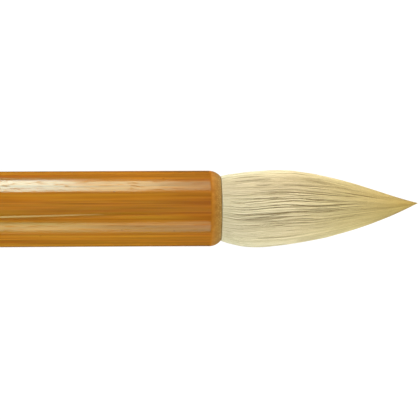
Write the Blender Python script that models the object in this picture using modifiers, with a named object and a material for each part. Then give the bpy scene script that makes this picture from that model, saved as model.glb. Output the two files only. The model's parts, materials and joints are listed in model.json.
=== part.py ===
"""Calligraphy brush: a bamboo tube with a goat-hair tuft glued straight into its bored-out mouth.

Metres, +Z up. The brush lies on its side along X, the tuft to +X and the tail to -X. The flattened
underside of the handle rests on Z = 0, with the origin under the middle of the brush.

Every turned piece is drawn in one axial coordinate, its station: the distance ahead of the mouth
of the handle. A station is positive in the open hair and negative inside the handle.
"""

import math

import bpy

MM = 0.001

# ---- Driving dimensions of the handle ----
HANDLE_LENGTH = 210.0 * MM
HANDLE_RADIUS = 7.5 * MM
REST_FLAT_DEPTH = 0.2 * MM         # the cane is this much flatter underneath, and lies on that side
BAMBOO_BORE = 5.2 * MM             # radius of the natural hollow of the cane
SOCKET_RADIUS = 5.9 * MM           # the hollow is opened out at the mouth to take the hair
SOCKET_DEPTH = 16.0 * MM
MOUTH_ARC_RADIUS = 3.0 * MM        # the outer edge of the mouth is ground to this arc
MOUTH_ARC_LENGTH = 2.35 * MM
TAIL_ARC_RADIUS = 0.9 * MM

# ---- Tail plug ----
PLUG_STEM_LENGTH = 9.0 * MM
PLUG_HEAD_LENGTH = 4.3 * MM
PLUG_HEAD_RADIUS = 6.5 * MM
PLUG_FACE_RADIUS = 3.6 * MM
CORD_HOLE_RADIUS = 1.1 * MM

# ---- Tuft ----
TUFT_LENGTH = 39.4 * MM            # open hair, from the mouth to the tip
TUFT_RADIUS = 7.5 * MM             # at the crest, its fullest point
TUFT_CREST = 8.5 * MM
TUFT_MOUTH_RADIUS = 6.42 * MM      # the hair spreads over the end face as it leaves the socket
TUFT_SHOULDER_POWER = 2.4
TUFT_DEPTH_RATIO = 0.97            # the tuft is a little shallower than it is wide
TUFT_DEPTH_BLEND = 4.0 * MM
TIP_DRIFT = 0.9 * MM               # the hairs of the tip lean to +Y
TIP_DRIFT_POWER = 8

# ---- Hair bundle inside the socket ----
ROOT = -14.0 * MM                  # station of the cut roots
ROOT_RADIUS = 5.5 * MM
ROOT_SQUEEZE = 0.86                # the sealed end is this fraction of the bundle's radius
ROOT_SQUEEZE_LENGTH = 3.5 * MM
COVER_THICKNESS = 0.75 * MM
LAYER_GAP = 0.2 * MM
SPREAD_START = 0.3 * MM            # past the mouth, where the hair has covered the end face
BORE_BLEND = 2.0 * MM              # the cover hair reaches its open thickness by here
OPEN_STEP = 5.0 * MM               # longest facet of a core layer in the open

# Each layer of the core: share of the core's radius at the root, the station where it would fill
# the whole core, and the station where its own hairs end.
CORE_LAYERS = (
    ("life_hair_core", 0.28, 30.0 * MM, 36.2 * MM),
    ("throat_hair_layer", 0.52, 23.0 * MM, 26.5 * MM),
    ("belly_hair_layer", 0.76, 15.0 * MM, 20.0 * MM),
    ("waist_hair_layer", 1.0, 1.0 * MM, 12.0 * MM),
)
FILL_POWER = 2

# ---- Binding threads, rosin and glue ----
THREAD_RADIUS = 0.2 * MM
THREAD_PITCH = 0.45 * MM
THREAD_TURNS = 4
THREAD_CLEARANCE = 0.15 * MM
INNER_TIE = -9.0 * MM              # station of the middle of each binding
OUTER_TIE = -5.0 * MM
INNER_TIE_PINCH = 0.6 * MM
OUTER_TIE_PINCH = 0.5 * MM
TIE_HALF_WIDTH = THREAD_TURNS * THREAD_PITCH / 2
TIE_RAMP = 0.6 * MM
SEAL_THICKNESS = 0.6 * MM
GLUE_FLOOR = 0.5 * MM
GLUE_COLLAR_TOP = -11.2 * MM
GLUE_COLLAR_LIP = 0.2 * MM

GAP = 0.3 * MM                     # between pieces that touch
SIDES = 24
POINTS_PER_TURN = 20
ARC_STEPS = 6
MERGE = 0.01 * MM
CUT_MARGIN = 1.0 * MM              # how far a cutter reaches past what it cuts
SMOOTH_ANGLE = math.radians(35)

AXIS_HEIGHT = HANDLE_RADIUS - REST_FLAT_DEPTH
TOTAL_LENGTH = TUFT_LENGTH + HANDLE_LENGTH + GAP + PLUG_HEAD_LENGTH
MOUTH_X = TOTAL_LENGTH / 2 - TUFT_LENGTH

COLLECTION = "calligraphy_brush"
CUTTERS = "cutters"


# ---- Small helpers ----
def ramp(value):
    """The value held between 0 and 1."""
    return min(max(value, 0.0), 1.0)


def mix(low, high, share):
    return low + (high - low) * share


def across_flats(radius):
    """Corner radius of the polygon whose flats touch a circle of this radius."""
    return radius / math.cos(math.pi / SIDES)


def spaced(start, stop, count):
    """count evenly spaced values from start to stop, both ends included."""
    return [mix(start, stop, i / (count - 1)) for i in range(count)]


# ---- Shape of the hair, as radii along the station ----
def open_radius(station):
    """Outline of the open hair: a full shoulder up to the crest, then a cosine down to the tip."""
    if station < TUFT_CREST:
        share = ((TUFT_CREST - station) / TUFT_CREST) ** TUFT_SHOULDER_POWER
        return mix(TUFT_RADIUS, TUFT_MOUTH_RADIUS, share)
    share = ramp((station - TUFT_CREST) / (TUFT_LENGTH - TUFT_CREST))
    return TUFT_RADIUS * math.cos(share * math.pi / 2)


def squeeze(station):
    """The roots are drawn together towards their sealed end."""
    return mix(ROOT_SQUEEZE, 1.0, ramp((station - ROOT) / ROOT_SQUEEZE_LENGTH))


def pinch(station, tie, depth):
    """How far a binding centred on the station tie draws the hair in."""
    return depth * ramp((TIE_HALF_WIDTH + TIE_RAMP - abs(station - tie)) / TIE_RAMP)


def bundle_radius(station):
    """Outer surface of the whole bundle, in the socket and in the open."""
    if station >= SPREAD_START:
        return open_radius(station)
    return ROOT_RADIUS * squeeze(station) - pinch(station, OUTER_TIE, OUTER_TIE_PINCH)


def cover_bore(station):
    """Inner surface of the cover hair."""
    rooted = (ROOT_RADIUS - COVER_THICKNESS) * squeeze(station)
    if station <= 0.0:
        return rooted
    return mix(rooted, max(open_radius(station) - COVER_THICKNESS, 0.0), ramp(station / BORE_BLEND))


def core_radius(station):
    """Outer surface of the tied core inside the cover hair."""
    return cover_bore(station) - LAYER_GAP - pinch(station, INNER_TIE, INNER_TIE_PINCH)


def layer_radius(index, station):
    """Outer surface of one layer of the core, which takes over as the layers outside it end."""
    _, root_share, fills_at, _ = CORE_LAYERS[index]
    share = mix(root_share, 1.0, ramp(station / fills_at) ** FILL_POWER)
    return core_radius(station) * share


def tie_stations(tie):
    """Stations where the surface kinks as it dips under a binding."""
    reach = TIE_HALF_WIDTH + TIE_RAMP
    return [tie - reach, tie - TIE_HALF_WIDTH, tie + TIE_HALF_WIDTH, tie + reach]


# ---- Materials ----
def material(name, colour, roughness, coat=0.0):
    finish = bpy.data.materials.new(name)
    finish.use_nodes = True
    shader = finish.node_tree.nodes["Principled BSDF"]
    shader.inputs["Base Color"].default_value = (*colour, 1.0)
    shader.inputs["Roughness"].default_value = roughness
    shader.inputs["Metallic"].default_value = 0.0
    shader.inputs["Coat Weight"].default_value = coat
    finish.diffuse_color = (*colour, 1.0)
    return finish


def make_materials():
    return {
        "bamboo": material("varnished_bamboo", (0.42, 0.17, 0.02), 0.3, 0.8),
        "plug": material("dark_wood", (0.10, 0.035, 0.012), 0.35, 0.4),
        "glue": material("set_glue", (0.50, 0.33, 0.10), 0.3),
        "rosin": material("fused_rosin", (0.16, 0.07, 0.02), 0.25),
        "thread": material("cotton_thread", (0.75, 0.70, 0.58), 0.85),
        "core_hair": material("core_goat_hair", (0.55, 0.44, 0.24), 0.6),
        "cover_hair": material("cover_goat_hair", (0.65, 0.54, 0.32), 0.5),
    }


# ---- Making one piece ----
def add_to_brush(piece, parent):
    bpy.data.collections[COLLECTION].objects.link(piece)
    piece.parent = parent


def turned(name, profile, parent, finish, ring=False):
    """A solid of revolution about local Z.

    profile lists (radius, station) down the outer side, from the tuft's end to the tail's. It
    starts and ends on the axis, or, as a ring, it comes back up the inside and closes on itself.
    The profile stands half a side round from +X, so that a flat of the solid faces straight down.
    """
    turn = math.pi / SIDES
    points = [(r * math.cos(turn), r * math.sin(turn), station) for r, station in profile]
    edges = [(i, i + 1) for i in range(len(points) - 1)]
    if ring:
        edges.append((len(points) - 1, 0))
    mesh = bpy.data.meshes.new(name)
    mesh.from_pydata(points, edges, [])
    mesh.materials.append(finish)
    piece = bpy.data.objects.new(name, mesh)
    add_to_brush(piece, parent)
    screw = piece.modifiers.new("turn", "SCREW")
    screw.axis = "Z"
    screw.angle = 2 * math.pi
    screw.steps = SIDES
    screw.render_steps = SIDES
    screw.use_smooth_shade = True
    screw.use_merge_vertices = True
    screw.merge_threshold = MERGE
    return piece


def lay_hair(piece):
    """Gives a turned layer of hair the tuft's lean and its slightly shallow section."""
    bpy.context.view_layer.update()
    turned_piece = piece.evaluated_get(bpy.context.evaluated_depsgraph_get())
    mesh = bpy.data.meshes.new_from_object(turned_piece)
    for vertex in mesh.vertices:
        station = vertex.co.z
        vertex.co.x *= mix(1.0, TUFT_DEPTH_RATIO, ramp(station / TUFT_DEPTH_BLEND))
        vertex.co.y += TIP_DRIFT * ramp(station / TUFT_LENGTH) ** TIP_DRIFT_POWER
    mesh.shade_smooth()
    mesh.set_sharp_from_angle(angle=SMOOTH_ANGLE)
    blank = piece.data
    piece.modifiers.clear()
    piece.data = mesh
    bpy.data.meshes.remove(blank)
    mesh.name = piece.name


# ---- Handle pieces ----
def rest_flat_cutter():
    """A block below Z = 0, as long and as wide as the handle."""
    tail_x = MOUTH_X - HANDLE_LENGTH
    bpy.ops.mesh.primitive_cube_add(size=1.0)
    block = bpy.context.object
    block.name = "rest_flat_cutter"
    block.scale = (HANDLE_LENGTH + 2 * CUT_MARGIN, 2 * HANDLE_RADIUS, HANDLE_RADIUS)
    block.location = ((tail_x + MOUTH_X) / 2, 0.0, -HANDLE_RADIUS / 2)
    block.hide_render = True
    block.display_type = "WIRE"
    for holder in list(block.users_collection):
        holder.objects.unlink(block)
    bpy.data.collections[CUTTERS].objects.link(block)
    return block


def bamboo_handle(parent, finish):
    """The cane: a tube with a ground, rounded mouth and a wider socket bored into that end.

    One side of a cane grows a little flat. It is the underside here, so the brush doesn't roll.
    """
    outer = across_flats(HANDLE_RADIUS)
    profile = []
    for back in spaced(0.0, MOUTH_ARC_LENGTH, ARC_STEPS):
        along = MOUTH_ARC_LENGTH - back
        drop = MOUTH_ARC_RADIUS - math.sqrt(MOUTH_ARC_RADIUS ** 2 - along ** 2)
        profile.append((outer - drop, -back))
    for angle in spaced(0.0, math.pi / 2, ARC_STEPS // 2 + 1):
        radius = outer - TAIL_ARC_RADIUS * (1 - math.cos(angle))
        profile.append((radius, -HANDLE_LENGTH + TAIL_ARC_RADIUS * (1 - math.sin(angle))))
    bore = across_flats(BAMBOO_BORE)
    socket = across_flats(SOCKET_RADIUS)
    profile += [(bore, -HANDLE_LENGTH), (bore, -SOCKET_DEPTH)]
    profile += [(socket, -SOCKET_DEPTH), (socket, 0.0)]
    cane = turned("bamboo_handle", profile, parent, finish, ring=True)
    flat = cane.modifiers.new("rest_flat", "BOOLEAN")
    flat.operation = "DIFFERENCE"
    flat.object = rest_flat_cutter()


def tail_plug(parent, finish):
    """A turned plug: its stem in the cane, its domed head against the end, a cord hole through it."""
    shoulder = -HANDLE_LENGTH - GAP
    end = shoulder - PLUG_HEAD_LENGTH
    stem = BAMBOO_BORE - GAP
    top = -HANDLE_LENGTH + PLUG_STEM_LENGTH
    profile = [(stem - GAP, top), (stem, top - 2 * GAP), (stem, shoulder)]
    for angle in spaced(0.0, math.pi / 2, ARC_STEPS):
        radius = mix(PLUG_FACE_RADIUS, PLUG_HEAD_RADIUS, math.cos(angle))
        profile.append((radius, shoulder - PLUG_HEAD_LENGTH * math.sin(angle)))
    profile += [(CORD_HOLE_RADIUS + GAP, end), (CORD_HOLE_RADIUS, end + GAP), (CORD_HOLE_RADIUS, top)]
    turned("tail_plug", profile, parent, finish, ring=True)


def socket_glue(parent, finish):
    """The bed of set glue: a floor on the step of the socket and a collar round the squeezed roots."""
    outer = SOCKET_RADIUS - GAP
    bottom = -SOCKET_DEPTH + GAP
    floor = bottom + GLUE_FLOOR
    thinnest = outer - GLUE_COLLAR_LIP
    wall = [(min(bundle_radius(s) + GAP, thinnest), s) for s in spaced(ROOT, GLUE_COLLAR_TOP, 4)]
    profile = [(0.0, floor), (wall[0][0], floor), *wall]
    profile += [(outer, GLUE_COLLAR_TOP), (outer, bottom), (0.0, bottom)]
    turned("socket_glue", profile, parent, finish)


def root_seal(parent, finish):
    """The disc of fused rosin that holds the cut roots together."""
    top = ROOT - GAP
    radius = ROOT_RADIUS * ROOT_SQUEEZE
    bottom = top - SEAL_THICKNESS
    profile = [(0.0, top), (radius - GAP, top), (radius, top - GAP), (radius - GAP, bottom)]
    profile.append((0.0, bottom))
    turned("root_seal", profile, parent, finish)


def tie_thread(name, tie, held_radius, parent, finish):
    """A binding: one length of thread wound round the hair in touching turns."""
    radius = held_radius + THREAD_CLEARANCE + THREAD_RADIUS
    count = THREAD_TURNS * POINTS_PER_TURN + 1
    curve = bpy.data.curves.new(name, "CURVE")
    curve.dimensions = "3D"
    curve.bevel_depth = THREAD_RADIUS
    curve.bevel_resolution = 2
    curve.use_fill_caps = True
    curve.materials.append(finish)
    spline = curve.splines.new("POLY")
    spline.points.add(count - 1)
    for i, point in enumerate(spline.points):
        angle = 2 * math.pi * i / POINTS_PER_TURN
        station = tie + THREAD_PITCH * (i / POINTS_PER_TURN - THREAD_TURNS / 2)
        point.co = (radius * math.cos(angle), radius * math.sin(angle), station, 1.0)
    add_to_brush(bpy.data.objects.new(name, curve), parent)


# ---- Hair pieces ----
def core_layers(parent, finish):
    """The tied core: hairs of four lengths, the longest in the middle, each layer round the last."""
    rooted = [ROOT, ROOT + ROOT_SQUEEZE_LENGTH, *tie_stations(INNER_TIE)[1:], 0.0]
    for index, (name, _, _, end) in enumerate(CORE_LAYERS):
        steps = 3 + int(end / OPEN_STEP)
        stations = rooted + spaced(0.0, end, steps)[1:]
        outside = [(layer_radius(index, s), s) for s in sorted(stations, reverse=True)]
        if index == 0:
            profile = [(0.0, end), *outside[1:], (0.0, ROOT)]
        else:
            inside = [(layer_radius(index - 1, s) + LAYER_GAP, s) for s in sorted(stations)]
            profile = outside + inside
        lay_hair(turned(name, profile, parent, finish, ring=index > 0))


def cover_hair(parent, finish):
    """The outer layer of long fine hair, from the root to the tip, with the core inside it."""
    rooted = [ROOT, ROOT + ROOT_SQUEEZE_LENGTH, *tie_stations(OUTER_TIE), 0.0]
    shoulder = [SPREAD_START, *spaced(1.5 * MM, TUFT_CREST, 4)]
    taper = spaced(TUFT_CREST, TUFT_LENGTH, 12)[1:-1]
    closing = math.acos(COVER_THICKNESS / TUFT_RADIUS) / (math.pi / 2)
    bore_end = mix(TUFT_CREST, TUFT_LENGTH, closing)
    bore_stations = [ROOT, ROOT + ROOT_SQUEEZE_LENGTH, 0.0, *spaced(BORE_BLEND, bore_end, 11)[:-1]]
    profile = [(0.0, TUFT_LENGTH)]
    profile += [(bundle_radius(s), s) for s in sorted(rooted + shoulder + taper, reverse=True)]
    profile += [(cover_bore(s), s) for s in bore_stations]
    profile.append((0.0, bore_end))
    lay_hair(turned("cover_hair", profile, parent, finish))


# ---- The brush ----
def frame_empty(name):
    """An empty at the middle of the mouth, its local Z along the brush. It carries one body."""
    holder = bpy.data.objects.new(name, None)
    holder.location = (MOUTH_X, 0.0, AXIS_HEIGHT)
    holder.rotation_euler = (0.0, math.pi / 2, 0.0)
    holder.empty_display_size = HANDLE_RADIUS
    bpy.data.collections[COLLECTION].objects.link(holder)
    return holder


def build():
    for old in list(bpy.data.objects):
        bpy.data.objects.remove(old, do_unlink=True)
    for name in (COLLECTION, CUTTERS):
        bpy.context.scene.collection.children.link(bpy.data.collections.new(name))
    finish = make_materials()
    handle = frame_empty("handle_body")
    tuft = frame_empty("tuft_bend_axis")

    bamboo_handle(handle, finish["bamboo"])
    tail_plug(handle, finish["plug"])
    socket_glue(handle, finish["glue"])
    root_seal(handle, finish["rosin"])
    core_at_tie = core_radius(INNER_TIE)
    tie_thread("inner_tie_thread", INNER_TIE, core_at_tie, handle, finish["thread"])
    bundle_at_tie = bundle_radius(OUTER_TIE)
    tie_thread("outer_tie_thread", OUTER_TIE, bundle_at_tie, handle, finish["thread"])

    core_layers(tuft, finish["core_hair"])
    cover_hair(tuft, finish["cover_hair"])


build()
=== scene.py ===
"""The looks of the calligraphy brush: varnished bamboo, a ground mouth and a goat-hair tuft.

Metres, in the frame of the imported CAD. The brush lies along X on the floor, the tuft to +X.
A station is a distance ahead of the mouth of the handle, as in the CAD. An angle round the brush
is 0 at the top, on the +Z side, and grows towards +Y.
"""

import json
import math

import bpy
import numpy as np
from mathutils import Matrix, Vector


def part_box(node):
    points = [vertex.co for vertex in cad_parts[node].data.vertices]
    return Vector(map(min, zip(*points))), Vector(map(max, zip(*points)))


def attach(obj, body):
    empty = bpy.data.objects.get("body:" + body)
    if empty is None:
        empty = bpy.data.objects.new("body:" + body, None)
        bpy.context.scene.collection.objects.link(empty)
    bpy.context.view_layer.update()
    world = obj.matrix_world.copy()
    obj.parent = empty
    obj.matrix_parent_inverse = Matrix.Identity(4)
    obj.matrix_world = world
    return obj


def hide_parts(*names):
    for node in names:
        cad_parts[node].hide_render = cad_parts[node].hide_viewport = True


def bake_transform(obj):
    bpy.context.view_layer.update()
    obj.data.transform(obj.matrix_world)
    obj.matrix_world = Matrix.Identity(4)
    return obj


MM = 0.001
TAU = 2 * math.pi
UV_STEP = 0.004                    # keeps a strand's faces from being lines in the map
UV_CAP = 0.005                     # the corner of the map that the flat ends of a skin share
UV_MARGIN = 0.01                   # left free at each end of the map of the tuft

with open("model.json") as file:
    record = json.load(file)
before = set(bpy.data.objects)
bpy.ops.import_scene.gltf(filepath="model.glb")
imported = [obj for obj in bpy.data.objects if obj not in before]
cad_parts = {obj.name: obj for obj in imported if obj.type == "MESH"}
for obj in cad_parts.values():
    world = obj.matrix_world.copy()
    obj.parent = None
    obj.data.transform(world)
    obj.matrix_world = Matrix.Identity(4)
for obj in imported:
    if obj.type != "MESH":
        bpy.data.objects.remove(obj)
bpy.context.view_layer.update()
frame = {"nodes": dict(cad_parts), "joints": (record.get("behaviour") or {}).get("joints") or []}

# ---- Places and sizes, from the frame ----
PIVOT = Vector(frame["joints"][0]["pos_m"])
HANDLE_LOW, HANDLE_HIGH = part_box("bamboo_handle")
COVER_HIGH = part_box("cover_hair")[1]
MOUTH_X = HANDLE_HIGH.x
AXIS_Z = PIVOT.z
HANDLE_LENGTH = HANDLE_HIGH.x - HANDLE_LOW.x
CANE_RADIUS = HANDLE_HIGH.z - AXIS_Z
TUFT_LENGTH = COVER_HIGH.x - MOUTH_X

# ---- Outline of the hair ----
# It is the CAD's, with less lean at the tip, and a sway and some fullness that the CAD lacks.
TUFT_RADIUS = 7.5 * MM
TUFT_CREST = 8.5 * MM
TUFT_MOUTH_RADIUS = 6.42 * MM
TUFT_SHOULDER_POWER = 2.4
TUFT_DEPTH_RATIO = 0.97
TUFT_DEPTH_BLEND = 4.0 * MM
TIP_LEAN = 0.7 * MM
TIP_LEAN_POWER = 8
SWAY = 0.21 * MM                   # the hair sags to -Y past the mouth, then lies to +Y
SWAY_TURN = 10.2 * MM
SWAY_TURNS = 1.5                   # half waves of the sway, after which it holds
FULLNESS = 0.06 * MM               # the loose hair stands a little proud of the CAD past the crest
FULLEST = 11.5 * MM
FULLNESS_REACH = 4.5 * MM
SOCKETED_RADIUS = 5.6 * MM
SPREAD_START = 0.10 * MM


# ---- Numbers and noise ----
def smooth(value):
    held = np.clip(value, 0.0, 1.0)
    return held * held * (3 - 2 * held)


def lattice_noise(rng, across, along, across_cells, along_cells):
    """Smooth noise from -1 to 1. across wraps round at 1; along runs from 0 to 1."""
    values = rng.uniform(-1, 1, (along_cells + 2, across_cells))
    a = (across % 1.0) * across_cells
    b = np.clip(along, 0.0, 1.0) * along_cells
    a0, b0 = np.floor(a).astype(int), np.floor(b).astype(int)
    fa, fb = smooth(a - a0), smooth(b - b0)
    a0 %= across_cells
    a1 = (a0 + 1) % across_cells
    low = values[b0, a0] * (1 - fa) + values[b0, a1] * fa
    high = values[b0 + 1, a0] * (1 - fa) + values[b0 + 1, a1] * fa
    return low * (1 - fb) + high * fb


def open_radius(station):
    """Outline of the open hair: a full shoulder up to the crest, then a cosine down to the tip."""
    back = np.clip((TUFT_CREST - station) / TUFT_CREST, 0.0, 1.0) ** TUFT_SHOULDER_POWER
    shoulder = TUFT_RADIUS + (TUFT_MOUTH_RADIUS - TUFT_RADIUS) * back
    ahead = np.clip((station - TUFT_CREST) / (TUFT_LENGTH - TUFT_CREST), 0.0, 1.0)
    return np.where(station < TUFT_CREST, shoulder, TUFT_RADIUS * np.cos(ahead * math.pi / 2))


def hair_radius(station):
    """Outline of the hair in the socket and in the open."""
    out = smooth(station / SPREAD_START)
    proud = FULLNESS * np.exp(-(((station - FULLEST) / FULLNESS_REACH) ** 2))
    return SOCKETED_RADIUS + (open_radius(station) - SOCKETED_RADIUS) * out + proud


def hair_points(station, angle, radius):
    """Points of the tuft, with its slightly shallow section and the lean of its tip."""
    depth = 1 + (TUFT_DEPTH_RATIO - 1) * np.clip(station / TUFT_DEPTH_BLEND, 0.0, 1.0)
    lean = TIP_LEAN * np.clip(station / TUFT_LENGTH, 0.0, 1.0) ** TIP_LEAN_POWER
    lean = lean - SWAY * np.sin(np.clip(station / SWAY_TURN, 0.0, SWAY_TURNS) * math.pi)
    return np.stack(
        [
            MOUTH_X + station,
            radius * np.sin(angle) + lean,
            AXIS_Z + radius * np.cos(angle) * depth,
        ],
        axis=-1,
    )


# ---- Meshes ----
def new_piece(name, points, faces, uvs, finish):
    """A smooth mesh. uvs holds one (u, v) for each face corner, in the map named OFBake."""
    mesh = bpy.data.meshes.new(name)
    mesh.from_pydata(points, [], faces)
    layer = mesh.uv_layers.new(name="OFBake")
    layer.data.foreach_set("uv", np.asarray(uvs, np.float32).ravel())
    mesh.materials.append(finish)
    mesh.shade_smooth()
    mesh.update()
    piece = bpy.data.objects.new(name, mesh)
    bpy.context.scene.collection.objects.link(piece)
    return piece


def ring_piece(name, points, row_u, finish, ring=False):
    """A skin over rows of points that each go once round. Its ends close to a point, or on a ring."""
    rows, around = points.shape[:2]
    index = np.arange(rows * around).reshape(rows, around)
    following = np.roll(index, -1, axis=1)
    steps = rows if ring else rows - 1
    faces, uvs = [], []
    for i in range(steps):
        j = (i + 1) % rows
        quad = np.stack([index[i], index[j], following[j], following[i]], axis=1)
        faces.append(quad)
        v0 = np.arange(around) / around
        v1 = v0 + 1 / around
        u0, u1 = row_u[i], row_u[i + 1]
        corners = [(u0, v0), (u1, v0), (u1, v1), (u0, v1)]
        uvs.append(np.stack([np.stack([np.full(around, u), v], axis=1) for u, v in corners], axis=1))
    face_list = np.concatenate(faces).tolist()
    uv_list = np.concatenate(uvs).reshape(-1, 2)
    if not ring:
        face_list += [index[0].tolist(), index[-1][::-1].tolist()]
        uv_list = np.concatenate([uv_list, np.full((2 * around, 2), UV_CAP)])
    return new_piece(name, points.reshape(-1, 3).tolist(), face_list, uv_list, finish)


# ---- Material nodes ----
class Graph:
    """A material's node tree, with short calls for the nodes that these finishes share."""

    def __init__(self, name, **plain):
        self.material = bpy.data.materials.new(name)
        self.material.use_nodes = True
        self.tree = self.material.node_tree
        self.shader = self.tree.nodes["Principled BSDF"]
        for socket, value in plain.items():
            self.shader.inputs[socket.replace("_", " ")].default_value = value

    def node(self, kind, **settings):
        made = self.tree.nodes.new(kind)
        for key, value in settings.items():
            setattr(made, key, value)
        return made

    def link(self, source, target):
        self.tree.links.new(source, target)

    def coordinates(self, scale, source="Object"):
        """Texture coordinates, stretched by one factor for each axis."""
        where = self.node("ShaderNodeTexCoord")
        mapping = self.node("ShaderNodeMapping")
        mapping.inputs["Scale"].default_value = scale
        self.link(where.outputs[source], mapping.inputs["Vector"])
        return mapping.outputs["Vector"]

    def noise(self, vector, detail=2.0, roughness=0.5, scale=1.0):
        made = self.node("ShaderNodeTexNoise")
        made.inputs["Scale"].default_value = scale
        made.inputs["Detail"].default_value = detail
        made.inputs["Roughness"].default_value = roughness
        self.link(vector, made.inputs["Vector"])
        return made.outputs["Fac"]

    def ramp(self, value, *stops):
        """A colour ramp through (place, colour) stops."""
        made = self.node("ShaderNodeValToRGB")
        elements = made.color_ramp.elements
        while len(elements) < len(stops):
            elements.new(0.5)
        for element, (place, colour) in zip(elements, stops):
            element.position = place
            element.color = (*colour, 1.0)
        self.link(value, made.inputs["Fac"])
        return made.outputs["Color"]

    def mix(self, kind, share, first, second):
        """Two colours combined. share is a number or a socket."""
        made = self.node("ShaderNodeMix", data_type="RGBA", blend_type=kind)
        if isinstance(share, float):
            made.inputs[0].default_value = share
        else:
            self.link(share, made.inputs[0])
        self.link(first, made.inputs[6])
        if isinstance(second, tuple):
            made.inputs[7].default_value = (*second, 1.0)
        else:
            self.link(second, made.inputs[7])
        return made.outputs[2]

    def place_in_map(self):
        """Outputs with u as X and v as Y."""
        where = self.node("ShaderNodeUVMap", uv_map="OFBake")
        split = self.node("ShaderNodeSeparateXYZ")
        self.link(where.outputs["UV"], split.inputs["Vector"])
        return split.outputs

    def colour(self, socket):
        self.link(socket, self.shader.inputs["Base Color"])

    def ahead(self, start, end, ragged=0.0):
        """0 behind the station start to 1 past the station end, with an uneven edge ragged deep."""
        place = self.node("ShaderNodeSeparateXYZ")
        self.link(self.coordinates((1, 1, 1)), place.inputs["Vector"])
        uneven = self.node("ShaderNodeMath", operation="MULTIPLY_ADD")
        self.link(self.noise(self.coordinates((260, 900, 900)), detail=4.0), uneven.inputs[0])
        uneven.inputs[1].default_value = ragged
        self.link(place.outputs["X"], uneven.inputs[2])
        share = self.node("ShaderNodeMapRange")
        share.inputs["From Min"].default_value = MOUTH_X + start + ragged / 2
        share.inputs["From Max"].default_value = MOUTH_X + end + ragged / 2
        self.link(uneven.outputs["Value"], share.inputs["Value"])
        return share.outputs["Result"]

    def bump(self, height, depth, strength=1.0, coat=False):
        made = self.node("ShaderNodeBump")
        made.inputs["Strength"].default_value = strength
        made.inputs["Distance"].default_value = depth
        self.link(height, made.inputs["Height"])
        self.link(made.outputs["Normal"], self.shader.inputs["Normal"])
        if coat:
            self.link(made.outputs["Normal"], self.shader.inputs["Coat Normal"])


GROUND_EDGE = (0.34, 0.130, 0.012)  # the colour that the skin and the ground mouth share
WHITE = (1.0, 1.0, 1.0)
BLACK = (0.0, 0.0, 0.0)


def varnished_bamboo():
    """The skin of the cane under its varnish, worn away unevenly where the ground mouth begins."""
    g = Graph("varnished_bamboo", Roughness=0.5, Coat_Roughness=0.13)
    g.shader.inputs["Specular IOR Level"].default_value = 0.0
    g.shader.inputs["Diffuse Roughness"].default_value = 1.0
    broad = g.noise(g.coordinates((16, 520, 520)), detail=3.0, roughness=0.6)
    fine = g.noise(g.coordinates((30, 2300, 2300)), detail=4.0, roughness=0.65)
    tone = g.ramp(
        broad,
        (0.30, (0.390, 0.120, 0.0090)),
        (0.44, (0.345, 0.149, 0.0095)),
        (0.54, (0.435, 0.165, 0.0110)),
        (0.66, (0.420, 0.194, 0.0150)),
    )
    fibres = g.ramp(fine, (0.34, (0.70, 0.64, 0.60)), (0.55, WHITE), (0.73, (1.10, 1.16, 1.2)))
    base = g.mix("MULTIPLY", 1.0, tone, fibres)
    dots = g.node("ShaderNodeTexVoronoi", feature="F1")
    dots.inputs["Scale"].default_value = 1.0
    g.link(g.coordinates((160, 420, 420)), dots.inputs["Vector"])
    speck = g.ramp(dots.outputs["Distance"], (0.0, (0.25, 0.14, 0.10)), (0.055, WHITE))
    marked = g.mix("MULTIPLY", 1.0, base, speck)
    near_mouth = g.ahead(REDDER_START, -MOUTH_ARC_LENGTH)
    redder = g.mix("MULTIPLY", near_mouth, marked, (0.90, 0.80, 0.92))
    worn = g.ahead(-MOUTH_ARC_LENGTH, -GROUND_START, ragged=WORN_RAGGED)
    g.colour(g.mix("MIX", worn, redder, GROUND_EDGE))
    covered = g.ramp(worn, (0.0, WHITE), (0.6, BLACK))
    short = g.noise(g.coordinates((360, 3600, 3600)), detail=3.0)
    pores = g.ramp(short, (0.35, (0.20, 0.20, 0.20)), (0.43, WHITE))
    g.link(g.mix("MULTIPLY", 1.0, covered, pores), g.shader.inputs["Coat Weight"])
    g.bump(fine, 0.03 * MM, 0.5, coat=True)
    return g.material


def ground_bamboo():
    """The bare mouth, where the skin is ground off and the fibre bundles show as dots."""
    g = Graph("ground_bamboo", Roughness=0.7)
    g.shader.inputs["Specular IOR Level"].default_value = 0.1
    across = g.ramp(
        g.ahead(-GROUND_START, 0.0),
        (0.0, GROUND_EDGE),
        (0.35, (0.302, 0.137, 0.021)),
        (0.75, (0.310, 0.165, 0.038)),
        (0.92, (0.340, 0.210, 0.066)),
        (1.0, (0.33, 0.215, 0.072)),
    )
    tone = g.noise(g.coordinates((700, 900, 900)), detail=3.0)
    patches = g.ramp(tone, (0.3, (0.86, 0.78, 0.66)), (0.7, (1.12, 1.14, 1.16)))
    base = g.mix("MULTIPLY", 1.0, across, patches)
    bundles = g.node("ShaderNodeTexVoronoi", feature="F1")
    bundles.inputs["Scale"].default_value = 1.0
    g.link(g.coordinates((2200, 2800, 2800)), bundles.inputs["Vector"])
    dots = g.ramp(bundles.outputs["Distance"], (0.12, (1.42, 1.52, 1.8)), (0.45, (0.90, 0.88, 0.84)))
    g.colour(g.mix("MULTIPLY", g.ahead(-GROUND_START, -CLEAR_DOTS), base, dots))
    g.bump(bundles.outputs["Distance"], 0.04 * MM, 0.5)
    return g.material


def plug_wood():
    g = Graph("turned_dark_wood", Roughness=0.35, Coat_Weight=0.5, Coat_Roughness=0.15)
    grain = g.noise(g.coordinates((90, 1400, 500)), detail=5.0, roughness=0.6)
    g.colour(g.ramp(grain, (0.3, (0.045, 0.015, 0.006)), (0.7, (0.16, 0.06, 0.022))))
    g.bump(grain, 0.02 * MM, 0.4)
    return g.material


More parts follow.
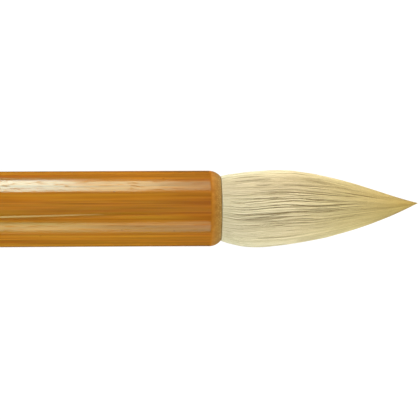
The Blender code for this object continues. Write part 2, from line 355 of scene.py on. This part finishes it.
def set_glue():
    g = Graph("set_glue", Roughness=0.25, Coat_Weight=0.3)
    cloud = g.noise(g.coordinates((600, 600, 600)), detail=3.0)
    g.colour(g.ramp(cloud, (0.3, (0.36, 0.21, 0.05)), (0.7, (0.62, 0.42, 0.15))))
    g.bump(cloud, 0.05 * MM, 0.5)
    return g.material


def fused_rosin():
    g = Graph("fused_rosin", Roughness=0.22, Coat_Weight=0.4)
    cloud = g.noise(g.coordinates((900, 900, 900)), detail=4.0)
    g.colour(g.ramp(cloud, (0.3, (0.07, 0.025, 0.008)), (0.7, (0.24, 0.11, 0.035))))
    g.bump(cloud, 0.06 * MM, 0.5)
    return g.material


def binding_thread():
    g = Graph("binding_thread", Roughness=0.85)
    ply = g.node("ShaderNodeTexWave", wave_type="BANDS", bands_direction="DIAGONAL")
    ply.inputs["Scale"].default_value = 1.0
    ply.inputs["Distortion"].default_value = 1.5
    g.link(g.coordinates((700, 700, 700)), ply.inputs["Vector"])
    g.colour(g.ramp(ply.outputs["Fac"], (0.2, (0.52, 0.45, 0.32)), (0.8, (0.80, 0.76, 0.64))))
    g.bump(ply.outputs["Fac"], 0.05 * MM, 0.8)
    return g.material


def hair_finish():
    """Hair whose map runs along the strand in u, and from dark to light in v: each hair's own tone, with
    painted shade and painted highlight added.
    """
    g = Graph("goat_hair", Roughness=0.5)
    g.shader.inputs["Specular IOR Level"].default_value = 0.3
    place = g.place_in_map()
    along = g.ramp(
        place["X"],
        (0.0, (0.50, 0.445, 0.300)),
        (0.08, (0.555, 0.490, 0.328)),
        (0.35, (0.59, 0.503, 0.312)),
        (0.60, (0.545, 0.452, 0.226)),
        (0.82, (0.505, 0.384, 0.144)),
        (0.97, (0.515, 0.363, 0.100)),
    )
    # v: own tone, painted shade for depth and gaps, painted highlight on the locks
    shade = g.ramp(
        place["Y"],
        (0.0, (0.34, 0.29, 0.20)),
        (0.45, (0.88, 0.86, 0.81)),
        (1.0, (1.16, 1.16, 1.18)),
    )
    g.colour(g.mix("MULTIPLY", 1.0, along, shade))
    return g.material


def core_hair_finish():
    g = Graph("core_goat_hair", Roughness=0.65)
    strands = g.noise(g.coordinates((60, 6000, 6000)), detail=3.0)
    g.colour(g.ramp(strands, (0.3, (0.34, 0.26, 0.13)), (0.7, (0.66, 0.56, 0.34))))
    g.bump(strands, 0.05 * MM, 0.7)
    return g.material


# ---- Bamboo handle ----
CANE_AROUND = 360
FLAT_EDGE = 0.02 * MM
LEAST_COSINE = 0.05                # keeps the plane of the flat finite away from the underside
CANE_CELLS = 96                    # flutes round the cane
MOUTH_ARC_RADIUS = 3.0 * MM
MOUTH_ARC_LENGTH = 2.35 * MM
MOUTH_ARC_ROWS = 13
GROUND_ROWS = 11                   # of the arc's rows; the skin reaches over the others
BARE_BORE_ROWS = 3                 # the socket's wall, its chamfer and the rim, bare as well
GROUND_START = MOUTH_ARC_LENGTH * GROUND_ROWS / MOUTH_ARC_ROWS
WORN_RAGGED = 0.5 * MM             # depth of the uneven edge of the varnish
CLEAR_DOTS = 0.3 * MM              # the fibre dots are at full strength from here to the mouth
REDDER_START = -14.0 * MM          # the cane grows redder from here to the mouth
BODY_ROWS = 110
BODY_START = MOUTH_ARC_LENGTH + 0.25 * MM
TAIL_ARC_RADIUS = 0.9 * MM
TAIL_ARC_ROWS = 8
SOCKET_RADIUS = 5.9 * MM
SOCKET_DEPTH = 16.0 * MM
SOCKET_CHAMFER = (0.3 * MM, 0.05 * MM)  # along and outwards
BAMBOO_BORE = 5.2 * MM
FLUTE_DEPTH = 0.012 * MM
FLUTE_CELLS_ALONG = 9
LOBE_DEPTH = 0.02 * MM
LOBE_CELLS = (7, 3)                # around and along
GROOVE_ANGLE = math.radians(-5.0)
GROOVE_DRIFT = math.radians(-7.5)   # over GROOVE_RUN behind the mouth
GROOVE_RUN = 44.0 * MM
GROOVE_WIDTH = 0.28 * MM
GROOVE_DEPTH = 0.15 * MM
GROOVE_END = -6.0 * MM
GROOVE_FADE = 30.0 * MM
GROOVE_SWING = 0.5 * GROOVE_WIDTH
GROOVE_WAVES = 9                   # radians of its sideways wave over the length of the handle
MOUTH_MAP_SHARE = 4                # the rows of the mouth take this much more room in the map
RIM_RUN = 1.0 * MM                 # the length of the rim, for its room in the map


def cane_profile():
    """(station, radius, share of the skin's texture) down the outside and back up the bore."""
    rows = []
    for back in np.linspace(0.0, MOUTH_ARC_LENGTH, MOUTH_ARC_ROWS + 1):
        along = MOUTH_ARC_LENGTH - back
        drop = MOUTH_ARC_RADIUS - math.sqrt(MOUTH_ARC_RADIUS**2 - along**2)
        rows.append((-back, CANE_RADIUS - drop, 0.0))
    body = np.linspace(BODY_START, HANDLE_LENGTH - TAIL_ARC_RADIUS, BODY_ROWS)
    rows += [(-back, CANE_RADIUS, 1.0) for back in body]
    for turn in np.linspace(0.0, math.pi / 2, TAIL_ARC_ROWS)[1:]:
        radius = CANE_RADIUS - TAIL_ARC_RADIUS * (1 - math.cos(turn))
        rows.append((-HANDLE_LENGTH + TAIL_ARC_RADIUS * (1 - math.sin(turn)), radius, 0.0))
    rows += [(-HANDLE_LENGTH, BAMBOO_BORE, 0.0), (-SOCKET_DEPTH, BAMBOO_BORE, 0.0)]
    rows += [(-SOCKET_DEPTH, SOCKET_RADIUS, 0.0), (-SOCKET_CHAMFER[0], SOCKET_RADIUS, 0.0)]
    rows.append((0.0, SOCKET_RADIUS + SOCKET_CHAMFER[1], 0.0))
    return np.array(rows)


def lying_flat(radius, angle):
    """The radius held back to the plane that the cane lies on, with soft edges to the flat."""
    plane = AXIS_Z / np.maximum(-np.cos(angle), LEAST_COSINE)
    over = (radius - plane) / FLAT_EDGE
    return radius - FLAT_EDGE * np.logaddexp(0.0, over)


def bamboo_cane():
    rng = np.random.default_rng(11)
    profile = cane_profile()
    station, radius, skin = (profile[:, i][:, None] for i in range(3))
    angle = np.linspace(0, TAU, CANE_AROUND, endpoint=False)[None, :]
    across = angle / TAU + 0 * station
    along = -station / HANDLE_LENGTH + 0 * angle
    flutes = lattice_noise(rng, across, along, CANE_CELLS, FLUTE_CELLS_ALONG) * FLUTE_DEPTH
    lobes = lattice_noise(rng, across, along, *LOBE_CELLS) * LOBE_DEPTH
    groove_angle = GROOVE_ANGLE - GROOVE_DRIFT * station / GROOVE_RUN
    gap = (angle - groove_angle + math.pi) % TAU - math.pi
    path = GROOVE_SWING * np.sin(station / HANDLE_LENGTH * GROOVE_WAVES)
    reach = np.exp(-(((gap * CANE_RADIUS - path) / GROOVE_WIDTH) ** 2))
    groove = GROOVE_DEPTH * reach * smooth((GROOVE_END - station) / GROOVE_FADE)
    swell = skin * (flutes + lobes - groove)
    full = lying_flat(radius + swell, angle)
    x = MOUTH_X + station + 0 * angle
    points = np.stack([x, full * np.sin(angle), AXIS_Z + full * np.cos(angle)], axis=-1)
    run = np.hypot(*np.diff(profile[:, :2], axis=0).T)
    run[: MOUTH_ARC_ROWS + 1] *= MOUTH_MAP_SHARE
    row_u = np.concatenate([[0.0], np.cumsum(run), [run.sum() + RIM_RUN]])
    cane = ring_piece("bamboo_cane", points, row_u / row_u[-1], varnished_bamboo(), ring=True)
    cane.data.materials.append(ground_bamboo())
    rows = len(profile)
    slots = np.zeros(len(cane.data.polygons), int)
    slots[: GROUND_ROWS * CANE_AROUND] = 1
    slots[(rows - BARE_BORE_ROWS) * CANE_AROUND :] = 1
    cane.data.polygons.foreach_set("material_index", slots)
    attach(cane, "handle")
    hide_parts("bamboo_handle")


# ---- Tuft ----
# A hair keeps one place, a share of the way round, from its root to its end. The lie of the hair
# turns a place into an angle. A lock is a few hairs that cross the others beside a thin gap.
STRAND_SIDES = 3
STRAND_POINTS = 19
STRAND_FLATNESS = 0.45             # height of a strand's section over its width
FLATTER_BELOW = 1.4                # strands lie flatter where the tuft is thinner than crest / 1.4
FLATTEST = 0.1
STRAND_WIDTHS = (0.75, 1.25)       # of the given width
TIP_WIDTH = 0.45                   # a strand's width where the tuft has no radius, over its width
THINNEST_TUFT = 0.12               # of the crest's radius, where strands stop closing in
LEAST_RADIUS = 0.02 * MM           # of a strand's middle from the axis
END_AREA = 0.02                    # of a strand's section, left at its end
STRAND_SHADE = 0.68                # middle of the shades; a shade is a place in v of the map
STRAND_CONTRAST = 0.25
CONTRAST_LOST = 0.6                # of the contrast, by the tip
CONTRAST_LIMIT = 1.6               # standard deviations
UNDER_PAINTED_SHADE = 0.5 / (0.5 * MM)     # painted shade: darker with depth, as if shaded by the hairs over it
GAP_PAINTED_SHADE = 0.9 / (0.25 * MM)      # painted shade: darker in a gap, with its depth
SHADE_ENDS = (0.02, 0.97)
LEAST_REACH = 0.55                 # of the tuft's length, for a long hair
WAVES = (3, 9)                     # radians over half the tuft
WAVE_HEIGHT = 0.055 * MM
STRAY_PIVOT = 0.4                  # the share of its points where a stray hair crosses its own place
ROOT_STATION = -3.0 * MM
ROOTED_STATIONS = (ROOT_STATION, -0.05 * MM, 0.10 * MM)
FREE_FROM = 1.5 * MM
ROUND_TUFT = TAU * TUFT_RADIUS
FIELD_AROUND = 1200
FIELD_ALONG = 110
TURN_BROAD = (11, 4, 0.42 * MM)    # cells round the tuft, cells along it, and the most it reaches
TURN_FINE = (34, 8, 0.11 * MM)
RISE_RIDGES = (150, 9, 0.03 * MM)
RISE_SWELLS = (60, 6, 0.03 * MM)
TONES = (26, 4, 0.10)
LOOSE_AFTER = 5.0 * MM
LOCKS = 520
LOCK_LENGTH = (6.0 * MM, 17.0 * MM)
LOCK_SLANT = 0.016                 # sideways over along, as a standard deviation
LOCK_SWING = 0.09 * MM
LOCK_HAIRS = 4
LOCK_PITCH = 0.055 * MM
LOCK_PITCH_ERROR = 0.012 * MM
LOCK_GAP = 0.10 * MM
LOCK_POINTS = 15
LOCK_MIDDLES = (0.05, 0.84)        # of the tuft's length
LOCK_TONE_AND_HIGHLIGHT = (0.09, 0.21)          # mean and standard deviation, over LOCK_BASE_SHADE; the mean is a painted highlight on the raised locks, the spread is their own tone
# a little over STRAND_SHADE, part of the locks' painted highlight
LOCK_BASE_SHADE = 0.70
LOCK_HAIR_SHADE = 0.08
LOCK_REACH = 0.55                  # of its length, to each side of its middle
LOCK_STAGGER = 0.22                # of its length, the most that a hair starts late or ends early
LOCK_START = 0.6 * MM
LOCK_END = 1.2 * MM                # short of the tip
LOCK_DIVE = 0.15 * MM              # how deep the ends of a lock's hairs go
LOCK_PROUD = 0.03 * MM
GAP_DEPTH = (0.08 * MM, 0.27 * MM)
GAP_WIDTH = (0.045 * MM, 0.10 * MM)
QUIET_SHARE = 0.27                 # of the gaps' depth, away from the top and the underside
BUSY_ANGLE = 0.22                  # the gaps are deepest here and on the opposite side
BUSY_FROM = 0.60                   # cosines of the angle off BUSY_ANGLE, from quiet to busy
BUSY_RISE = 0.32
BED_AROUND = 720
BED_ROWS = 100
BED_DEPTH = 0.30 * MM
BED_END = 0.4 * MM                 # short of the tip
BED_ROOT_END = -0.1 * MM           # the last row in the socket
BED_THINNEST = 0.05                # of the crest's radius, where the bed stops closing in
BED_LEAST_RADIUS = 0.01 * MM


class Lie:
    """How the hair lies: fields over the place round the tuft and the station, and its locks."""

    def __init__(self, seed):
        rng = np.random.default_rng(seed)
        around = np.arange(FIELD_AROUND)[:, None] / FIELD_AROUND
        along = np.linspace(0, 1, FIELD_ALONG)[None, :]
        across, length = around + 0 * along, along + 0 * around

        def field(cells_around, cells_along, most):
            return lattice_noise(rng, across, length, cells_around, cells_along) * most

        self.turn = (field(*TURN_BROAD) + field(*TURN_FINE)) / TUFT_RADIUS  # radians
        self.rise = field(*RISE_RIDGES) + field(*RISE_SWELLS)
        self.tone = field(*TONES)
        self.lock = [
            {
                "place": rng.uniform(),
                "middle": rng.uniform(*LOCK_MIDDLES) * TUFT_LENGTH,
                "length": rng.uniform(*LOCK_LENGTH),
                "slant": rng.normal(0, LOCK_SLANT),
                "swing": rng.normal(0, LOCK_SWING),
                "phase": rng.uniform(0, TAU),
                "deep": rng.uniform(*GAP_DEPTH),
                "wide": rng.uniform(*GAP_WIDTH),
                "side": rng.choice([-1.0, 1.0]),
                # the lock's own tone, lifted by a painted highlight
                "shade": rng.normal(*LOCK_TONE_AND_HIGHLIGHT),
            }
            for _ in range(LOCKS)
        ]
        self.gap = np.zeros_like(across)
        station = length * TUFT_LENGTH
        for lock in self.lock:
            facing = abs(math.cos(lock["place"] * TAU - BUSY_ANGLE))
            busy = float(smooth((facing - BUSY_FROM) / BUSY_RISE))
            lock["deep"] *= QUIET_SHARE + (1 - QUIET_SHARE) * busy
            off = ((across - self.path(lock, station) + 0.5) % 1.0 - 0.5) * ROUND_TUFT
            inside = np.clip(1 - ((station - lock["middle"]) / (lock["length"] / 2)) ** 2, 0.0, 1.0)
            cut = lock["deep"] * np.exp(-((off / lock["wide"]) ** 2)) * np.sqrt(inside)
            self.gap = np.maximum(self.gap, cut)

    @staticmethod
    def path(lock, station):
        """The place of the gap beside a lock."""
        ahead = station - lock["middle"]
        swing = lock["swing"] * np.sin(lock["phase"] + ahead / lock["length"] * TAU)
        return lock["place"] + (lock["slant"] * ahead + swing) / ROUND_TUFT

    @staticmethod
    def read(field, place, station):
        """The field at places round the tuft, eased between its samples."""
        a = (place % 1.0) * FIELD_AROUND
        b = np.clip(station / TUFT_LENGTH, 0.0, 0.9999) * (FIELD_ALONG - 1)
        a0, b0 = np.floor(a).astype(int), np.floor(b).astype(int)
        fa, fb = a - a0, b - b0
        a0 %= FIELD_AROUND
        a1 = (a0 + 1) % FIELD_AROUND
        low = field[a0, b0] * (1 - fa) + field[a1, b0] * fa
        high = field[a0, b0 + 1] * (1 - fa) + field[a1, b0 + 1] * fa
        return low * (1 - fb) + high * fb


def long_hairs(name, lie, count, seed, depth, width, finish, stray=0.0):
    """Hairs from the socket towards the tip. depth is (least, most) under the outline."""
    rng = np.random.default_rng(seed)
    place = (np.arange(count)[:, None] + rng.uniform(0, 1, (count, 1))) / count
    thinned = np.arccos(rng.uniform(0, 1, (count, 1))) * 2 / math.pi
    end = TUFT_CREST + (TUFT_LENGTH - TUFT_CREST) * thinned
    end = np.maximum(end, TUFT_LENGTH * rng.uniform(LEAST_REACH, 1.0, (count, 1)))
    t = np.linspace(0, 1, STRAND_POINTS)[None, :]
    rooted = np.array(ROOTED_STATIONS)[None, :] + 0 * end
    free = np.linspace(0, 1, STRAND_POINTS - len(ROOTED_STATIONS))[None, :]
    station = np.concatenate([rooted, FREE_FROM + (end - FREE_FROM) * free], axis=1)
    waves = rng.uniform(*WAVES, (count, 1)) * station / TUFT_LENGTH * 2
    waves = waves + rng.uniform(0, TAU, (count, 1))
    own = rng.normal(0, WAVE_HEIGHT, (count, 1)) * np.sin(waves)
    slant = rng.normal(0, stray * MM, (count, 1)) * (t - STRAY_PIVOT)
    place = place + (own + slant) * smooth(station / LOOSE_AFTER) / ROUND_TUFT
    under = rng.uniform(*depth, (count, 1)) + 0 * t
    contrast = STRAND_CONTRAST * (1 - CONTRAST_LOST * np.clip(station / TUFT_LENGTH, 0.0, 1.0))
    spread = rng.normal(0, 1, (count, 1)).clip(-CONTRAST_LIMIT, CONTRAST_LIMIT)
    # painted shade: a hair that lies deeper under the outline is made darker
    shade = STRAND_SHADE + contrast * spread - UNDER_PAINTED_SHADE * under
    return strands(name, lie, rng, place, station, under, shade, width, finish)


def lock_hairs(name, lie, seed, width, finish):
    """The hairs of the locks, which rise out of the surface and dive back into it."""
    rng = np.random.default_rng(seed)
    t = np.linspace(0, 1, LOCK_POINTS)[None, :]
    place, station, under, shade = [], [], [], []
    for lock in lie.lock:
        start = max(lock["middle"] - lock["length"] * LOCK_REACH, LOCK_START)
        end = min(lock["middle"] + lock["length"] * LOCK_REACH, TUFT_LENGTH - LOCK_END)
        hair = np.arange(LOCK_HAIRS)[:, None]
        first = start + rng.uniform(0, LOCK_STAGGER, hair.shape) * lock["length"]
        last = end - rng.uniform(0, LOCK_STAGGER, hair.shape) * lock["length"]
        s = first + (last - first) * t
        beside = lock["side"] * (LOCK_GAP + hair * LOCK_PITCH)
        beside = beside + rng.normal(0, LOCK_PITCH_ERROR, hair.shape)
        place.append(Lie.path(lock, s) + beside / ROUND_TUFT)
        station.append(s)
        under.append(LOCK_DIVE * (1 - np.sin(math.pi * t)) ** 1.5 - LOCK_PROUD + 0 * hair)
        own = rng.normal(0, LOCK_HAIR_SHADE, hair.shape)
        # lock hairs: their own tone with a painted highlight over it
        shade.append(LOCK_BASE_SHADE + lock["shade"] + own + 0 * t)
    columns = (np.concatenate(part) for part in (place, station, under, shade))
    return strands(name, lie, rng, *columns, width, finish)


def along_map(station):
    """The place in u of a station of the tuft."""
    return np.clip(station / TUFT_LENGTH, 0.0, 1.0) * (1 - 2 * UV_MARGIN) + UV_MARGIN


def strands(name, lie, rng, place, station, under, shade, width, finish):
    """Separate thin hairs, each a row of places, stations, depths and shades. width is a radius."""
    count, length = station.shape
    loose = smooth(station / LOOSE_AFTER)
    angle = place * TAU + Lie.read(lie.turn, place, station) * loose
    outline = hair_radius(station)
    scale = np.clip(outline / TUFT_RADIUS, THINNEST_TUFT, 1.0)
    gap = Lie.read(lie.gap, place, station) * loose
    sunk = under + gap - Lie.read(lie.rise, place, station) * loose
    radius = np.maximum(outline - sunk * scale, LEAST_RADIUS)
    points = hair_points(station, angle, radius)
    tangent = np.gradient(points, axis=1)
    tangent /= np.linalg.norm(tangent, axis=-1, keepdims=True)
    outward = np.stack([0 * angle, np.sin(angle), np.cos(angle)], axis=-1)
    side = np.cross(tangent, outward)
    side /= np.linalg.norm(side, axis=-1, keepdims=True)
    flatness = STRAND_FLATNESS * np.clip(FLATTER_BELOW * scale, FLATTEST, 1.0)
    outward = np.cross(side, tangent) * flatness[:, :, None]
    t = np.linspace(0, 1, length)[None, :]
    taper = np.sqrt(np.clip(1.0 + END_AREA - t**3, END_AREA, 1.0))
    thick = width * rng.uniform(*STRAND_WIDTHS, (count, 1)) * taper
    thick = thick * (TIP_WIDTH + (1 - TIP_WIDTH) * scale)
    turn = np.arange(STRAND_SIDES) * TAU / STRAND_SIDES
    facing = np.cos(turn)[:, None] * outward[:, :, None, :] + np.sin(turn)[:, None] * side[:, :, None, :]
    ring = points[:, :, None, :] + thick[:, :, None, None] * facing
    # painted shade in the gaps; the tone field is the hair's own uneven tone
    shade = shade + Lie.read(lie.tone, place, station) - GAP_PAINTED_SHADE * gap
    piece = tube_piece(name, ring, along_map(station), np.clip(shade, *SHADE_ENDS), finish)
    piece.data.shade_flat()
    return piece


def tube_piece(name, ring, u, shade, finish):
    """Thin closed tubes: ring holds each tube's rings of points, u and shade a value for each ring."""
    count, length, sides = ring.shape[:3]
    index = np.arange(count * length * sides).reshape(count, length, sides)
    near, far = index[:, :-1], index[:, 1:]
    quads = np.stack([near, far, np.roll(far, -1, 2), np.roll(near, -1, 2)], axis=-1).reshape(-1, 4)
    step = np.arange(sides)[None, None, :] * UV_STEP
    v_near, v_far = shade[:, :-1, None] + step, shade[:, 1:, None] + step
    u_near, u_far = u[:, :-1, None] + 0 * step, u[:, 1:, None] + 0 * step
    corner = [(u_near, v_near), (u_far, v_far), (u_far, v_far + UV_STEP), (u_near, v_near + UV_STEP)]
    quad_uv = np.stack([np.stack(c, axis=-1) for c in corner], axis=-2).reshape(-1, 2)
    ends = np.concatenate([index[:, 0], index[:, -1, ::-1]])
    end_u = np.concatenate([u[:, 0], u[:, -1]])[:, None]
    end_v = np.concatenate([shade[:, 0], shade[:, -1]])[:, None]
    spread = np.arange(sides)[None, :] * UV_STEP
    end_uv = np.stack([end_u + spread % (2 * UV_STEP), end_v + spread], axis=-1).reshape(-1, 2)
    faces = quads.tolist() + ends.tolist()
    return new_piece(name, ring.reshape(-1, 3).tolist(), faces, np.concatenate([quad_uv, end_uv]), finish)


def hair_bed(lie, finish):
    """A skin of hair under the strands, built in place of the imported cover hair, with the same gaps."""
    open_stations = np.linspace(SPREAD_START, TUFT_LENGTH - BED_END, BED_ROWS)
    station = np.concatenate([[ROOT_STATION, BED_ROOT_END], open_stations])
    place = np.linspace(0, 1, BED_AROUND, endpoint=False)[None, :]
    s = station[:, None] + 0 * place
    place = place + 0 * s
    loose = smooth(s / LOOSE_AFTER)
    outline = hair_radius(s)
    scale = np.clip(outline / TUFT_RADIUS, BED_THINNEST, 1.0)
    sunk = BED_DEPTH + (Lie.read(lie.gap, place, s) - Lie.read(lie.rise, place, s)) * loose
    radius = np.maximum(outline - sunk * scale, BED_LEAST_RADIUS)
    points = hair_points(s, place * TAU + Lie.read(lie.turn, place, s) * loose, radius)
    return ring_piece("hair_bed", points, along_map(station), finish)


def bed_finish():
    g = Graph("packed_goat_hair", Roughness=0.6)
    place = g.place_in_map()
    along = g.ramp(
        place["X"],
        (0.0, (0.60, 0.53, 0.34)),
        (0.55, (0.58, 0.49, 0.28)),
        (0.80, (0.56, 0.43, 0.19)),
        (0.97, (0.56, 0.39, 0.12)),
    )
    fine = g.noise(g.coordinates((6, 700, 1), source="UV"), detail=3.0)
    lines = g.ramp(fine, (0.3, (0.55, 0.52, 0.44)), (0.7, (1.1, 1.1, 1.1)))
    g.colour(g.mix("MULTIPLY", 1.0, along, lines))
    g.bump(fine, 0.05 * MM, 0.8)
    return g.material


def bends(piece):
    """The piece's placement is applied to its mesh."""
    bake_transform(piece)


def core_copies():
    """The layers of the core, as copies with their own finish, in place of the imported layers."""
    finish = core_hair_finish()
    for node in ("life_hair_core", "throat_hair_layer", "belly_hair_layer", "waist_hair_layer"):
        mesh = frame["nodes"][node].data.copy()
        mesh.materials.clear()
        mesh.materials.append(finish)
        layer = bpy.data.objects.new(node + "_bending", mesh)
        bpy.context.scene.collection.objects.link(layer)
        bends(layer)
        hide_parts(node)


def tuft():
    lie = Lie(3)
    finish = hair_finish()
    pieces = [
        hair_bed(lie, bed_finish()),
        long_hairs("under_hairs", lie, 1400, 21, (0.14 * MM, 0.24 * MM), 0.07 * MM, finish),
        long_hairs("middle_hairs", lie, 1600, 22, (0.06 * MM, 0.14 * MM), 0.055 * MM, finish),
        lock_hairs("lock_hairs", lie, 24, 0.05 * MM, finish),
        long_hairs("outer_hairs", lie, 1750, 23, (0.0, 0.06 * MM), 0.046 * MM, finish, stray=0.3),
    ]
    for piece in pieces:
        bends(piece)
    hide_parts("cover_hair")
    core_copies()


# ---- Carried-over pieces of the handle ----
def finish_inner_pieces():
    finishes = {
        "tail_plug": plug_wood(),
        "socket_glue": set_glue(),
        "root_seal": fused_rosin(),
        "inner_tie_thread": binding_thread(),
    }
    finishes["outer_tie_thread"] = finishes["inner_tie_thread"]
    for node, finish in finishes.items():
        mesh = frame["nodes"][node].data
        mesh.materials.clear()
        mesh.materials.append(finish)


# ---- Studio ----
VIEW_WIDTH = 83.4 * MM
VIEW_CENTRE = Vector((MOUTH_X - 2.1 * MM, -0.30 * MM, AXIS_Z))
CAMERA_DISTANCE = 0.6
CAMERA_YAW = math.radians(2.6)
CAMERA_ROLL = math.radians(-0.24)
SENSOR = 36.0
SOFTBOX_DISTANCE = 0.28
DOME_RADIUS = 3.0
FLOOR_DROP = 0.06 * MM             # clear of the lowest hairs


def camera():
    data = bpy.data.cameras.new("camera")
    data.sensor_width = SENSOR
    data.lens = SENSOR * CAMERA_DISTANCE / VIEW_WIDTH
    data.clip_start = 0.01
    data.clip_end = 20.0
    eye = bpy.data.objects.new("camera", data)
    bpy.context.scene.collection.objects.link(eye)
    look = Vector((math.sin(CAMERA_YAW), 0.0, -math.cos(CAMERA_YAW)))
    right = Vector((math.cos(CAMERA_YAW), 0.0, math.sin(CAMERA_YAW)))
    up = Vector((0.0, 1.0, 0.0))
    turn = Matrix((right, up, -look)).transposed() @ Matrix.Rotation(CAMERA_ROLL, 3, "Z")
    eye.matrix_world = Matrix.Translation(VIEW_CENTRE - look * CAMERA_DISTANCE) @ turn.to_4x4()
    bpy.context.scene.camera = eye


def area_light(name, centre, size, watts, colour):
    data = bpy.data.lights.new(name, "AREA")
    data.shape = "RECTANGLE"
    data.size, data.size_y = size
    data.energy = watts
    data.color = colour
    lamp = bpy.data.objects.new(name, data)
    bpy.context.scene.collection.objects.link(lamp)
    lamp.location = centre
    lamp.visible_camera = False
    return lamp


def softbox(name, side, band, ends, radiance, colour):
    """A softbox that only shows in the varnish, in a band of angles from the zenith.

    ends are the stations that it reaches along the brush.
    """
    near, far = (math.radians(edge) for edge in band)
    tall = SOFTBOX_DISTANCE * 2 * math.sin((far - near) / 2)
    middle = (near + far) / 2
    length = ends[1] - ends[0]
    target = Vector((MOUTH_X + (ends[0] + ends[1]) / 2, 0.0, AXIS_Z))
    away = SOFTBOX_DISTANCE * Vector((0.0, side * math.sin(middle), math.cos(middle)))
    watts = radiance * math.pi * tall * length
    lamp = area_light(name, target + away, (length, tall), watts, colour)
    lamp.rotation_euler = away.to_track_quat("Z", "Y").to_euler()
    lamp.visible_diffuse = False


def fill(name, zenith, distance, size, watts, colour):
    """A wide soft light that brightens the brush without showing in its varnish."""
    turn = math.radians(zenith)
    centre = Vector((MOUTH_X, distance * math.sin(turn), distance * math.cos(turn)))
    lamp = area_light(name, centre, size, watts, colour)
    lamp.rotation_euler = (centre - Vector((MOUTH_X, 0.0, AXIS_Z))).to_track_quat("Z", "Y").to_euler()
    lamp.visible_glossy = False


def backdrop():
    """The pale floor and a pale dome round it. Neither shows in the varnish or casts a shadow."""
    g = Graph("pale_floor", Roughness=0.9)
    g.shader.inputs["Base Color"].default_value = (0.10, 0.10, 0.10, 1.0)
    g.shader.inputs["Emission Color"].default_value = (1.0, 1.0, 1.0, 1.0)
    g.shader.inputs["Emission Strength"].default_value = 0.94
    mesh = bpy.data.meshes.new("floor")
    half = DOME_RADIUS
    corners = [(-half, -half, 0), (half, -half, 0), (half, half, 0), (-half, half, 0)]
    mesh.from_pydata(corners, [], [(0, 1, 2, 3)])
    ground = bpy.data.objects.new("floor", mesh)
    ground.location.z = -FLOOR_DROP
    bpy.context.scene.collection.objects.link(ground)
    bpy.ops.mesh.primitive_uv_sphere_add(segments=48, ring_count=24, radius=DOME_RADIUS)
    dome = bpy.context.object
    dome.name = "dome"
    dome.visible_diffuse = False
    for stage in (ground, dome):
        stage.data.materials.append(g.material)
        stage.visible_glossy = False
        stage.visible_shadow = False
        stage.visible_transmission = False


def lights():
    """Softboxes that show in the varnish, and wider fills that light the colours."""
    softbox("upper_near_tail", 1, (56, 104), (-0.125, -0.030), 8.8, (0.30, 0.72, 0.86))
    softbox("upper_middle", 1, (54, 98), (-0.125, -0.002), 5.2, (0.88, 1.0, 0.69))
    softbox("upper_long", 1, (51, 95), (-0.14, 0.10), 2.8, (0.82, 1.0, 0.64))
    softbox("lower_near_tail", -1, (41, 70), (-0.125, -0.024), 3.0, (0.62, 1.0, 0.42))
    softbox("lower_middle", -1, (41, 71), (-0.125, -0.004), 2.4, (0.95, 1.0, 0.66))
    softbox("lower_long", -1, (41, 71), (-0.14, 0.12), 2.4, (0.95, 1.0, 0.66))
    fill("fill_above", 5, 0.6, (0.5, 0.5), 3.5, (1.0, 0.98, 0.94))
    fill("fill_upper", 75, 0.5, (0.6, 0.3), 3.4, (1.0, 0.96, 0.91))
    fill("fill_lower", -65, 0.5, (0.6, 0.3), 2.75, (0.87, 0.97, 1.0))
    world = bpy.data.worlds.new("studio")
    world.use_nodes = True
    world.node_tree.nodes["Background"].inputs["Color"].default_value = (1.0, 1.0, 1.0, 1.0)
    world.node_tree.nodes["Background"].inputs["Strength"].default_value = 0.02
    bpy.context.scene.world = world
    bpy.context.scene.view_settings.view_transform = "Standard"


bamboo_cane()
tuft()
finish_inner_pieces()
backdrop()
camera()
lights()
